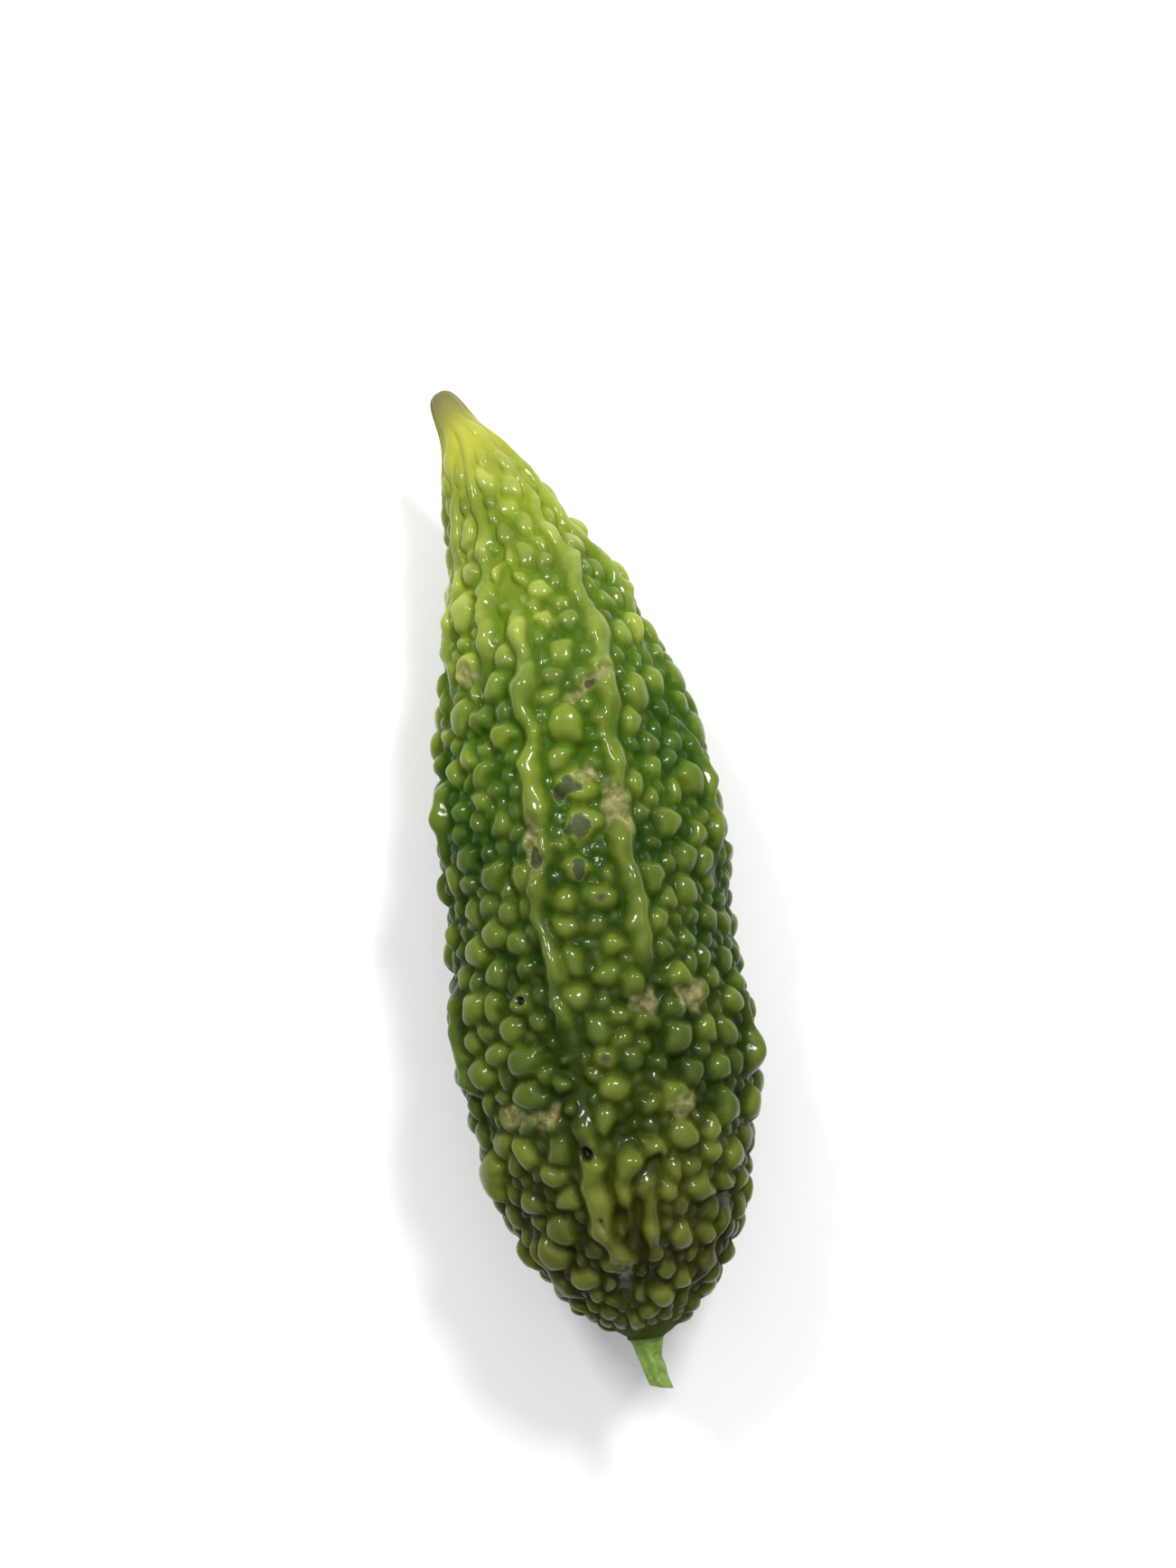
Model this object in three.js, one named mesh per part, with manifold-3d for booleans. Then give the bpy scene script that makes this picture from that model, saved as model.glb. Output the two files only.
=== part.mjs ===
import * as THREE from 'three';
import { mergeVertices } from 'three/addons/utils/BufferGeometryUtils.js';
import Module from 'manifold-3d';

// A bitter gourd, as picked, lying on its side. Millimetres, +Z up.
// +Y runs along the fruit to its pointed blossom end, and the stalk is at the -Y end.
// Angles round the fruit start at its top and grow towards +X.

const wasm = await Module();
wasm.setup();

// The fruit as a whole.
const LENGTH = 210;
const GIRTH = 66;
const FLATNESS = 0.97;
const HOOK_REACH = 18.5;
const HOOK_SHARE = 0.43;
const HOOK_POWER = 2;

// Long ridges, and the broad rib that each one rides on.
const RIDGE_RISE = 3.0;
const RIB_RISE = 1.2;
const RIB_SPREAD = 6;
const RIDGE_FADE = 14;
const RIDGE_FADE_SHARE = 0.25;
const RIDGE_NECK_SHARE = 0.3;
const RIDGE_NECK_END = 60;
const RIDGE_LEAST_WIDTH = 0.35;
const FULL_WIDTH_RADIUS = 13;

// Warts between the ridges.
const WART_RADII = [3.2, 2.6, 2.05];
const WART_TRIES = [1000, 1800, 3500];
const WART_STEEPNESS = 0.8;
const WART_SPACING = 0.79;
const WART_JITTER = 0.15;
const WART_STRETCH = 1.05;
const NECK_STRETCH = 0.6;
const NECK_STRETCH_START = 50;
const NECK_STRETCH_END = 110;
const WART_LEAN = 24;
const RIDGE_CLEARANCE = 0.35;
const RIDGE_STARTED = 0.4;
const NECK_BARE = 22;
const NECK_FADE = 24;
const FOOT_BARE = 6;
const FOOT_FADE = 22;

// Stalk stub.
const STALK_LENGTH = 10;
const STALK_RADIUS = 2.3;
const STALK_FOOT_RADIUS = 3.6;
const STALK_RIB = 0.35;
const STALK_RIBS = 5;
const STALK_BEND = 1.8;
const STALK_SLANT = 0.25;
const STALK_GAP = 0.3;
const SEAT_MARGIN = 0.3;

// How the fruit lies: turned and tipped onto its underside, which is pressed flat where it touches.
const REST_TIP = -1.6;
const REST_ROLL = 0;
const REST_PRESS = 0.7;

// Mesh fineness.
const AROUND = 62;
const ALONG = 86;
const SNAP_LIMIT = 0.4;
const STALK_AROUND = 20;
const STALK_ALONG = 8;

const TURN = 2 * Math.PI;
const BASE_RADIUS = GIRTH / 2 - RIDGE_RISE;
const SEAT_RADIUS = STALK_FOOT_RADIUS + SEAT_MARGIN;
const degrees = THREE.MathUtils.degToRad;

// Half outline from blossom tip to stalk seat: share of the length, share of the base radius.
const OUTLINE = new THREE.SplineCurve([
  [0, 0], [0.003, 0.075], [0.015, 0.12], [0.045, 0.165], [0.08, 0.245], [0.12, 0.325],
  [0.18, 0.43], [0.265, 0.65], [0.365, 0.87], [0.5, 0.965], [0.67, 1], [0.79, 0.945],
  [0.885, 0.75], [0.95, 0.48], [0.988, 0.24], [1, SEAT_RADIUS / BASE_RADIUS],
].map(([along, out]) => new THREE.Vector2(along * LENGTH, out * BASE_RADIUS)));

// Ridges: the course as [share of the way down the skin, angle], half-widths at both ends, and
// the rise as a share of the full one.
const RIDGES = [
  [[[0.02, 2], [0.06, 17], [0.10, 30], [0.18, 34], [0.28, 28], [0.44, 16], [0.54, 14], [0.66, 20]],
    [2.5, 2.6], 1],
  [[[0.02, -8], [0.07, -12], [0.12, -23], [0.17, -28], [0.27, -31], [0.35, -38]], [1.8, 1.8], 0.7],
  [[[0.24, -19], [0.31, -15], [0.40, -16], [0.52, -17], [0.62, -17], [0.72, -16]], [2.7, 1.9], 1],
  [[[0.735, -14], [0.79, -15], [0.83, -13], [0.85, -14], [0.88, -11], [0.93, -9]], [3.2, 2.9], 1],
  [[[0.775, 0], [0.82, 1], [0.87, 2]], [2.1, 2.0], 0.9],
  [[[0.80, 10], [0.85, 10], [0.91, 6]], [2.0, 1.9], 0.95],
  [[[0.03, -26], [0.06, -36], [0.10, -48], [0.19, -60], [0.28, -67], [0.35, -69]], [2.0, 2.4], 0.8],
  [[[0.41, -68], [0.46, -66], [0.53, -74]], [2.4, 2.2], 0.9],
  [[[0.60, -72], [0.74, -67]], [2.2, 2.4], 0.9],
  [[[0.85, -62], [0.94, -56]], [2.2, 1.9], 0.8],
  [[[0.04, 52], [0.12, 60], [0.22, 66], [0.33, 62]], [2.0, 2.4], 0.8],
  [[[0.39, 62], [0.55, 67]], [2.5, 2.2], 0.9],
  [[[0.64, 72], [0.75, 66]], [2.2, 2.3], 0.9],
  [[[0.84, 52], [0.94, 46]], [2.3, 1.9], 0.85],
  [[[0.05, 120], [0.3, 108], [0.6, 118], [0.93, 108]], [2.2, 2.3], 1],
  [[[0.04, 165], [0.25, 158], [0.5, 164], [0.93, 160]], [2.2, 2.4], 1],
  [[[0.04, -150], [0.25, -168], [0.5, -163], [0.93, -166]], [2.2, 2.4], 1],
  [[[0.05, -100], [0.25, -112], [0.5, -119], [0.93, -108]], [2.2, 2.3], 1],
].map(([course, widths, rise]) => ({ course, widths, rise }));

// Warts that stand out on the upper side: distance down from the tip, angle, radius, stretch
// along the fruit, and lean.
const NOTABLE_WARTS = [
  [31.0, 22, 1.9, 1.7, -12], [40.1, 15, 2.0, 1.5, -8], [41.6, -6, 2.0, 1.7, 0],
  [47.4, 5, 2.1, 1.4, -10], [50.6, 15, 2.0, 1.3, 0], [53.6, -5, 2.1, 1.2, 0],
  [58.0, 5, 2.7, 1.0, 0], [65.6, 2, 2.5, 1.1, 0], [66.4, 15, 2.4, 1.1, 0],
  [62.0, 44, 2.3, 1.3, 0], [70.2, 42, 2.6, 1.15, 0], [73.6, 5, 2.8, 1.3, 60],
  [88.9, 1, 4.0, 1.0, 0], [96.2, -5, 3.0, 0.9, 0],
  [102.1, 1, 4.1, 1.1, 0], [110.7, 0, 4.0, 1.0, 0], [119.2, -3, 3.3, 0.9, 0],
  [125.9, 4, 3.3, 1.0, 0], [135.8, 6, 3.2, 0.8, -15], [141.2, 3, 3.1, 1.0, 0],
  [132.0, -32, 2.9, 1.0, 0], [138.1, -29, 2.9, 1.0, 0], [144.2, -33, 3.3, 1.0, 0],
  [96.5, -80, 3.0, 1.1, 0], [156.4, -34, 4.2, 0.95, 0], [155.4, 27, 3.4, 1.0, 0],
  [167.2, 25, 3.9, 1.0, 0], [162.0, 48, 3.2, 1.0, 0], [170.1, 70, 4.3, 1.0, 0],
  [178.2, -70, 5.0, 1.0, 0], [174.2, -43, 3.3, 1.0, 0], [179.7, -31, 3.2, 1.0, 0],
  [191.4, -38, 3.4, 1.0, 0], [195.0, 26, 3.2, 1.0, 0],
];

// Evenly mixed numbers from 0 to 1, the same ones in every build.
function makeDice(seed) {
  let state = seed;
  return () => {
    state = (state * 1664525 + 1013904223) % 4294967296;
    return state / 4294967296;
  };
}

// The outline measured along the skin, so that a distance from the tip finds its place.
function measureSkin(steps = 1200) {
  const points = OUTLINE.getPoints(steps);
  const travelled = [0];
  for (let i = 1; i <= steps; i += 1) {
    travelled.push(travelled[i - 1] + points[i].distanceTo(points[i - 1]));
  }
  const total = travelled[steps];
  const at = (distance) => {
    let low = 0;
    let high = steps;
    while (high - low > 1) {
      const middle = (low + high) >> 1;
      if (travelled[middle] > distance) high = middle;
      else low = middle;
    }
    const share = (distance - travelled[low]) / (travelled[high] - travelled[low]);
    return points[low].clone().lerp(points[high], THREE.MathUtils.clamp(share, 0, 1));
  };
  return { total, at };
}

const skin = measureSkin();

// The bent centre line: its place and its direction at a distance down from the tip.
function centreLine(down) {
  const bend = Math.max(0, 1 - down / (HOOK_SHARE * LENGTH));
  const slope = HOOK_REACH * HOOK_POWER * bend ** (HOOK_POWER - 1) / (HOOK_SHARE * LENGTH);
  return {
    place: new THREE.Vector3(-HOOK_REACH * bend ** HOOK_POWER, LENGTH / 2 - down, 0),
    direction: new THREE.Vector3(slope, -1, 0).normalize(),
  };
}

function along(course, share) {
  const last = course.length - 1;
  let i = 0;
  while (i < last - 1 && course[i + 1][0] < share) i += 1;
  const [from, start] = course[i];
  const [to, end] = course[i + 1];
  return THREE.MathUtils.mapLinear(THREE.MathUtils.clamp(share, from, to), from, to, start, end);
}

// A wart's rounded profile, and a ridge's softer one: 1 in the middle, 0 from the edge outwards.
function dome(away) {
  return away < 1 ? (1 - away ** 2.1) ** 0.7 : 0;
}

function crest(away) {
  return away < 1 ? (1 - away ** 2) ** 0.85 : 0;
}

function turnBetween(a, b) {
  const turn = (a - b) % TURN;
  if (turn > Math.PI) return turn - TURN;
  return turn < -Math.PI ? turn + TURN : turn;
}

// How far a place lies across from a ridge's crest, how far the ridge has risen from its nearer
// end, and its half-width there, which shrinks with a thin neck.
function besideRidge(ridge, distance, angle, radius) {
  const first = ridge.course[0][0] * skin.total;
  const last = ridge.course[ridge.course.length - 1][0] * skin.total;
  const across = turnBetween(angle, degrees(along(ridge.course, distance / skin.total))) * radius;
  const fade = Math.min(RIDGE_FADE, RIDGE_FADE_SHARE * (last - first));
  const share = THREE.MathUtils.clamp((distance - first) / (last - first), 0, 1);
  const narrowed = THREE.MathUtils.clamp(radius / FULL_WIDTH_RADIUS, RIDGE_LEAST_WIDTH, 1);
  const width = THREE.MathUtils.lerp(ridge.widths[0], ridge.widths[1], share) * narrowed;
  return { across: Math.abs(across), risen: Math.min(distance - first, last - distance) / fade, width };
}

// Warts are small on the neck and near the stalk, and full size between.
function wartSize(distance) {
  const neck = THREE.MathUtils.smoothstep(distance, NECK_BARE - NECK_FADE, NECK_BARE + NECK_FADE);
  const left = skin.total - distance;
  const foot = THREE.MathUtils.smoothstep(left, FOOT_BARE - FOOT_FADE, FOOT_BARE + FOOT_FADE);
  return neck * foot;
}

// Notable warts come first. Others are thrown one by one, large ones first, and kept where they
// clear ridges and each other.
function scatterWarts() {
  const roll = makeDice(20117);
  const warts = NOTABLE_WARTS.map(([distance, angle, radius, stretch, lean]) => (
    { distance, angle: degrees(angle), radius, stretch, lean: degrees(lean) }
  ));
  WART_RADII.forEach((size, pass) => {
    for (let i = 0; i < WART_TRIES[pass]; i += 1) {
      const distance = THREE.MathUtils.lerp(NECK_BARE, skin.total - FOOT_BARE, roll());
      const angle = TURN * roll();
      const jitter = 1 + WART_JITTER * (2 * roll() - 1);
      const radius = size * jitter * wartSize(distance);
      const past = THREE.MathUtils.smoothstep(distance, NECK_STRETCH_START, NECK_STRETCH_END);
      const stretch = WART_STRETCH + NECK_STRETCH * (1 - past) * roll();
      const lean = degrees(WART_LEAN) * (2 * roll() - 1);
      const round = skin.at(distance).y;
      const nearRidge = RIDGES.some((ridge) => {
        const beside = besideRidge(ridge, distance, angle, round);
        return beside.risen > RIDGE_STARTED && beside.across < beside.width + RIDGE_CLEARANCE * radius;
      });
      const nearWart = warts.some((other) => {
        const down = (distance - other.distance) / Math.max(stretch, other.stretch);
        const across = turnBetween(angle, other.angle) * round;
        return Math.hypot(down, across) < WART_SPACING * (radius + other.radius);
      });
      if (!nearRidge && !nearWart) warts.push({ distance, angle, radius, stretch, lean });
    }
  });
  return warts;
}

const warts = scatterWarts();

// How far a place lies from a wart's middle, in the wart's own radii.
function besideWart(wart, distance, angle, round) {
  const down = distance - wart.distance;
  const across = turnBetween(angle, wart.angle) * round;
  const lengthwise = down * Math.cos(wart.lean) - across * Math.sin(wart.lean);
  const crosswise = down * Math.sin(wart.lean) + across * Math.cos(wart.lean);
  return Math.hypot(lengthwise / wart.stretch, crosswise) / wart.radius;
}

// Height of the skin above the smooth base: ribs, and on them the tallest ridge or wart.
function relief(distance, angle) {
  const round = skin.at(distance).y;
  const neck = THREE.MathUtils.smoothstep(distance, 0, RIDGE_NECK_END);
  const grown = THREE.MathUtils.lerp(RIDGE_NECK_SHARE, 1, neck);
  let rib = 0;
  let top = 0;
  for (const ridge of RIDGES) {
    const { across, risen, width } = besideRidge(ridge, distance, angle, round);
    const fade = grown * THREE.MathUtils.smoothstep(risen, 0, 1);
    rib = Math.max(rib, RIB_RISE * fade * Math.exp(-((across / RIB_SPREAD) ** 2)));
    top = Math.max(top, RIDGE_RISE * ridge.rise * fade * crest(across / width));
  }
  for (const wart of warts) {
    const away = besideWart(wart, distance, angle, round);
    top = Math.max(top, WART_STEEPNESS * wart.radius * dome(away));
  }
  return rib + top;
}

// The point of the skin at a distance from the tip, at an angle round the fruit.
function skinPoint(distance, angle) {
  const here = skin.at(distance);
  const before = skin.at(Math.max(0, distance - 0.5));
  const slope = (here.y - before.y) / Math.max(1e-6, here.x - before.x);
  const { place, direction } = centreLine(here.x);
  const side = new THREE.Vector3(-direction.y, direction.x, 0);
  const up = new THREE.Vector3(0, 0, 1);
  const point = place.addScaledVector(side, here.y * Math.sin(angle));
  point.addScaledVector(up, here.y * FLATNESS * Math.cos(angle));
  const outward = side.multiplyScalar(FLATNESS * Math.sin(angle)).addScaledVector(up, Math.cos(angle));
  outward.normalize().addScaledVector(direction, -slope).normalize();
  return point.addScaledVector(outward, relief(distance, angle));
}

// A closed geometry with shared vertices, each moved by the given function of its own place.
function shaped(geometry, move) {
  geometry.deleteAttribute('normal');
  geometry.deleteAttribute('uv');
  const welded = mergeVertices(geometry);
  const places = welded.getAttribute('position');
  for (let i = 0; i < places.count; i += 1) {
    const moved = move(new THREE.Vector3().fromBufferAttribute(places, i));
    places.setXYZ(i, moved.x, moved.y, moved.z);
  }
  return welded;
}

function toManifold(geometry) {
  return new wasm.Manifold(new wasm.Mesh({
    numProp: 3,
    vertProperties: geometry.getAttribute('position').array,
    triVerts: Uint32Array.from(geometry.getIndex().array),
  }));
}

function toGeometry(solid) {
  const mesh = solid.getMesh();
  const geometry = new THREE.BufferGeometry();
  geometry.setAttribute('position', new THREE.BufferAttribute(mesh.vertProperties, 3));
  geometry.setIndex(new THREE.BufferAttribute(mesh.triVerts, 1));
  return geometry;
}

// Grid crossings are pulled onto the wart middles near them, so that every wart keeps its peak.
function gridPlace(row, column, peaks) {
  return peaks.get(row * AROUND + column) ?? {
    distance: row / (ALONG - 1) * skin.total,
    angle: column / AROUND * TURN,
  };
}

function findPeaks() {
  const peaks = new Map();
  const rowStep = skin.total / (ALONG - 1);
  const columnStep = TURN / AROUND;
  for (const wart of warts) {
    const row = Math.round(wart.distance / rowStep);
    const column = Math.round(wart.angle / columnStep);
    const key = row * AROUND + column % AROUND;
    const pull = (offset) => THREE.MathUtils.clamp(offset, -SNAP_LIMIT, SNAP_LIMIT);
    if (!peaks.has(key)) {
      peaks.set(key, {
        distance: (row + pull(wart.distance / rowStep - row)) * rowStep,
        angle: (column + pull(wart.angle / columnStep - column)) * columnStep,
      });
    }
  }
  return peaks;
}

// The whole skin: a globe's grid laid over the fruit, with its last ring round the stalk's seat.
function fruitSkin() {
  const peaks = findPeaks();
  return shaped(new THREE.SphereGeometry(1, AROUND, ALONG), (globe) => {
    const row = Math.round(Math.acos(THREE.MathUtils.clamp(globe.y, -1, 1)) / Math.PI * ALONG);
    if (row === ALONG) return centreLine(LENGTH).place;
    const column = (Math.round(Math.atan2(globe.z, -globe.x) / TURN * AROUND) + AROUND) % AROUND;
    const { distance, angle } = gridPlace(row, column, peaks);
    if (row === ALONG - 1) return seatRim(angle);
    return skinPoint(distance, angle);
  });
}

function seatRim(angle) {
  const { place } = centreLine(LENGTH);
  return place.add(new THREE.Vector3(
    SEAT_RADIUS * Math.sin(angle), 0, SEAT_RADIUS * FLATNESS * Math.cos(angle),
  ));
}

// The stalk stub: a ribbed, flared, slightly bent stem with a slanted cut end.
function stalkShape() {
  const column = new THREE.CylinderGeometry(1, 1, 1, STALK_AROUND, STALK_ALONG);
  return shaped(column, (place) => {
    const out = 0.5 - place.y;
    const flare = (STALK_FOOT_RADIUS - STALK_RADIUS) * (1 - out) ** 4;
    const turn = Math.atan2(place.z, place.x);
    const rib = STALK_RIB * Math.cos(STALK_RIBS * turn);
    const radius = Math.hypot(place.x, place.z) * (STALK_RADIUS + flare + rib);
    const x = radius * Math.cos(turn) + STALK_BEND * out ** 2;
    const z = radius * Math.sin(turn);
    return new THREE.Vector3(x, -out * (STALK_LENGTH + STALK_SLANT * x), z);
  });
}

function restTurn() {
  return new THREE.Euler(degrees(REST_TIP), degrees(REST_ROLL), 0);
}

// Presses the underside flat, level with the ground when the fruit lies at rest.
function pressUnderside(geometry) {
  const up = new THREE.Vector3(0, 0, 1).applyQuaternion(
    new THREE.Quaternion().setFromEuler(restTurn()).invert(),
  );
  const places = geometry.getAttribute('position');
  let lowest = Infinity;
  for (let i = 0; i < places.count; i += 1) {
    lowest = Math.min(lowest, up.dot(new THREE.Vector3().fromBufferAttribute(places, i)));
  }
  return toGeometry(toManifold(geometry).trimByPlane(up.toArray(), lowest + REST_PRESS));
}

function makeFruit() {
  const green = new THREE.MeshStandardMaterial({ color: '#6f9133', roughness: 0.4, metalness: 0 });
  const fruit = new THREE.Mesh(pressUnderside(fruitSkin()), green);
  fruit.name = 'fruit';
  return fruit;
}

function makeStalk() {
  const lime = new THREE.MeshStandardMaterial({ color: '#8fae46', roughness: 0.6, metalness: 0 });
  const stalk = new THREE.Mesh(stalkShape(), lime);
  stalk.name = 'stalk';
  stalk.position.copy(centreLine(LENGTH).place);
  stalk.position.y -= STALK_GAP;
  return stalk;
}

// The gourd lies on the ground with the middle of its footprint at the origin.
function makeGourd() {
  const gourd = new THREE.Group();
  gourd.add(makeFruit(), makeStalk());
  gourd.rotation.copy(restTurn());
  const box = new THREE.Box3().setFromObject(gourd, true);
  const middle = box.getCenter(new THREE.Vector3());
  gourd.position.set(-middle.x, -middle.y, -box.min.z);
  return gourd;
}

const group = makeGourd();

export default group;
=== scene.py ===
"""A bitter gourd lying on its side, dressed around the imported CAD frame.

Blender works in metres here. The skin is worked out in millimetres, on a grid of places
given by the distance down from the blossom tip, along the skin, and the angle round the
fruit from its top towards +X.
"""

import math

import bpy
import numpy as np
from mathutils import Matrix, Vector


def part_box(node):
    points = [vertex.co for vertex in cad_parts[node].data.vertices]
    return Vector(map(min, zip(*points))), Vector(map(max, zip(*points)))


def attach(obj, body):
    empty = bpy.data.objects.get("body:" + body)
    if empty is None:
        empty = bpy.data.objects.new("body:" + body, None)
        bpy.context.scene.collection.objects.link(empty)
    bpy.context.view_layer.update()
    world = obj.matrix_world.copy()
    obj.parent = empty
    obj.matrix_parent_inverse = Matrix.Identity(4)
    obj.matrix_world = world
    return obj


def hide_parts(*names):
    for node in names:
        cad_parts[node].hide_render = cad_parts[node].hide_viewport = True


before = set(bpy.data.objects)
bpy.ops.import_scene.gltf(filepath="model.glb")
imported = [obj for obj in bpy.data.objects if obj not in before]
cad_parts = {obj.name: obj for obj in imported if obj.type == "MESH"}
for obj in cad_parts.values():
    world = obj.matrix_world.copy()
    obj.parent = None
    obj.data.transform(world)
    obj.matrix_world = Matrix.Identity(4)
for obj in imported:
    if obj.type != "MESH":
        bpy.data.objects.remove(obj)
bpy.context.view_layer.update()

MM = 0.001

# ---------------------------------------------------------------- sizes, from the frame

FRUIT_LOW, FRUIT_HIGH = (Vector(corner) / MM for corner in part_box("fruit"))
STALK_LOW, STALK_HIGH = (Vector(corner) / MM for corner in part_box("stalk"))
LENGTH = FRUIT_HIGH.y - FRUIT_LOW.y
GIRTH = FRUIT_HIGH.x - FRUIT_LOW.x

# ---------------------------------------------------------------- sizes that the frame doesn't tell

FLATNESS = 0.97
HOOK_REACH = 18.5
HOOK_SHARE = 0.43
HOOK_POWER = 2.0
SEAT_RADIUS = 3.9
REST_TIP = math.radians(-1.6)
REST_PRESS = 0.7

# Long ridges, and the broad rib that each one rides on.
RIDGE_RISE = 3.0
RIDGE_FADE = 14.0
RIDGE_FADE_SHARE = 0.25
RIDGE_NECK_SHARE = 0.3
RIDGE_NECK_END = 60.0
RIDGE_LEAST_WIDTH = 0.35
RIDGE_ROUNDING = 0.3
RIDGE_TONE = 0.1
RIDGE_SHADE = 0.15
RIDGE_DOME = (2, 0.85)
FULL_WIDTH_RADIUS = 13.0
RIB_RISE = 1.2
RIB_SPREAD = 6.0
BASE_RADIUS = GIRTH / 2 - RIDGE_RISE

# Warts between the ridges.
WART_RADII = (3.2, 2.6, 2.05, 1.5, 1.15)
WART_TRIES = (1000, 1800, 3500, 6000, 8000)
WART_DOME = (2.1, 0.7)
WART_STEEPNESS = 0.9
WART_SPACING = 0.79
WART_SPREAD = 1.45
WART_REACH = 2.4
WART_JITTER = 0.15
WART_STRETCH = 1.05
NECK_STRETCH = 0.6
NECK_STRETCH_START = 50.0
NECK_STRETCH_END = 110.0
WART_LEAN = math.radians(24)
WART_SWELL = (0.88, 1.12)
RIDGE_CLEARANCE = 0.35
RIDGE_STARTED = 0.4
NECK_BARE = 22.0
NECK_FADE = 24.0
FOOT_BARE = 6.0
FOOT_FADE = 22.0

# Crowding: how far off a bump is where none grows, in widths, and how sharply neighbours meet.
FAR = 9.0
MEETING_POWER = 6

# How far up a bump its waxed crown begins, and where it is full.
CROWN = (0.1, 0.6)

# Passes of smoothing, and the distances down between which the neck's own ones fade out.
SKIN_PASSES = 2
NECK_PASSES = 14
RIDGE_PASSES = 3
NECK_SMOOTH = (8.0, 42.0)

# Uneven growth: the seed, wavelength and height of each set of ripples, and what all sets share.
RIDGE_WOBBLE = (11, 13.0, 0.7)
RIDGE_SWELL = (12, 8.0, 0.22)
RIDGE_FINE_SWELL = (13, 4.0, 0.05)
WART_BEND_DOWN = (21, 6.0, 0.35)
WART_BEND_ACROSS = (22, 6.0, 0.35)
STALK_RIPPLES = (31, 3.0, 0.09)
MARK_EDGE_RIPPLES = (41, 3.5, 0.20)
SCAR_RIPPLES = (42, 1.6, 0.16)
BODY_RIPPLES = (51, 34.0, 0.35)
BODY_RIPPLES_SPAN = (10.0, 70.0)
RIPPLE_WAVES = 10
RIPPLE_PITCHES = (0.7, 1.4)

# Marks: where the edge of one fades, in its own sizes, and what each does to the height.
MARK_FADE = (0.5, 1.25)
SCAR_FLATTENING = 0.4
BRUISE_DEPTH = 0.4
SCAB_DEPTH = 0.3
HOLE_DEPTH = 2.2

# Seeds: where warts fall, and how each one differs in tone and height.
DICE_SEED = 20117
SWELL_SEED = 5

# Stalk stub.
STALK_LENGTH = 10.0
STALK_RADIUS = 2.3
STALK_FOOT_RADIUS = 3.6
STALK_RIB = 0.35
STALK_RIBS = 5
STALK_BEND = 1.8
STALK_SLANT = 0.25
STALK_GAP = 0.3
STALK_FLARE_POWER = 4
STALK_RIB_FADE = 0.3

# The stalk's cut end: how wide two more rings are against the last one, and how far in they lie.
STALK_LIP = (0.9, -0.12)
STALK_HOLLOW = (0.55, 0.25)
STALK_PIT = 0.6

# Mesh fineness.
ROWS = 440
COLUMNS = 400
OUTLINE_STEPS = 1200
STALK_ROWS = 34
STALK_COLUMNS = 60
HAIR = 1e-6

# Camera: sensor, lens and places in mm.
CAMERA_SENSOR = 36.0
CAMERA_LENS = 50.0
CAMERA_DISTANCE = 472.0
CAMERA_HEIGHT = math.radians(83)
CAMERA_TURN = math.radians(7.5)
CAMERA_AIM_RIGHT = 1.8
CAMERA_AIM_UP = 13.0

# Half outline from blossom tip to stalk seat: share of the length, share of the base radius.
OUTLINE = (
    (0, 0), (0.003, 0.075), (0.015, 0.12), (0.045, 0.165), (0.08, 0.245), (0.12, 0.325),
    (0.18, 0.43), (0.265, 0.65), (0.365, 0.87), (0.5, 0.965), (0.67, 1), (0.79, 0.945),
    (0.885, 0.75), (0.95, 0.48), (0.988, 0.24), (1, SEAT_RADIUS / BASE_RADIUS),
)

# Ridges: the course as (share of the way down the skin, angle), half-widths at both ends, rise.
RIDGES = (
    (((0.02, 2), (0.06, 17), (0.10, 30), (0.18, 34), (0.28, 28), (0.44, 16), (0.54, 14), (0.66, 20)),
     (2.5, 2.6), 1),
    (((0.02, -8), (0.07, -12), (0.12, -23), (0.17, -28), (0.27, -31), (0.35, -38)), (1.8, 1.8), 0.7),
    (((0.24, -19), (0.31, -15), (0.40, -16), (0.52, -17), (0.62, -17), (0.72, -16)), (2.7, 1.9), 1),
    (((0.735, -14), (0.79, -15), (0.83, -13), (0.85, -14), (0.88, -11), (0.93, -9)), (3.2, 2.9), 1),
    (((0.775, 0), (0.82, 1), (0.87, 2)), (2.1, 2.0), 0.9),
    (((0.80, 10), (0.85, 10), (0.91, 6)), (2.0, 1.9), 0.95),
    (((0.03, -26), (0.06, -36), (0.10, -48), (0.19, -60), (0.28, -67), (0.35, -69)), (2.0, 2.4), 0.8),
    (((0.41, -68), (0.46, -66), (0.53, -74)), (2.4, 2.2), 0.9),
    (((0.60, -72), (0.74, -67)), (2.2, 2.4), 0.9),
    (((0.85, -62), (0.94, -56)), (2.2, 1.9), 0.8),
    (((0.04, 52), (0.12, 60), (0.22, 66), (0.33, 62)), (2.0, 2.4), 0.8),
    (((0.39, 62), (0.55, 67)), (2.5, 2.2), 0.9),
    (((0.64, 72), (0.75, 66)), (2.2, 2.3), 0.9),
    (((0.84, 52), (0.94, 46)), (2.3, 1.9), 0.85),
    (((0.05, 120), (0.3, 108), (0.6, 118), (0.93, 108)), (2.2, 2.3), 1),
    (((0.04, 165), (0.25, 158), (0.5, 164), (0.93, 160)), (2.2, 2.4), 1),
    (((0.04, -150), (0.25, -168), (0.5, -163), (0.93, -166)), (2.2, 2.4), 1),
    (((0.05, -100), (0.25, -112), (0.5, -119), (0.93, -108)), (2.2, 2.3), 1),
)

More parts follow.
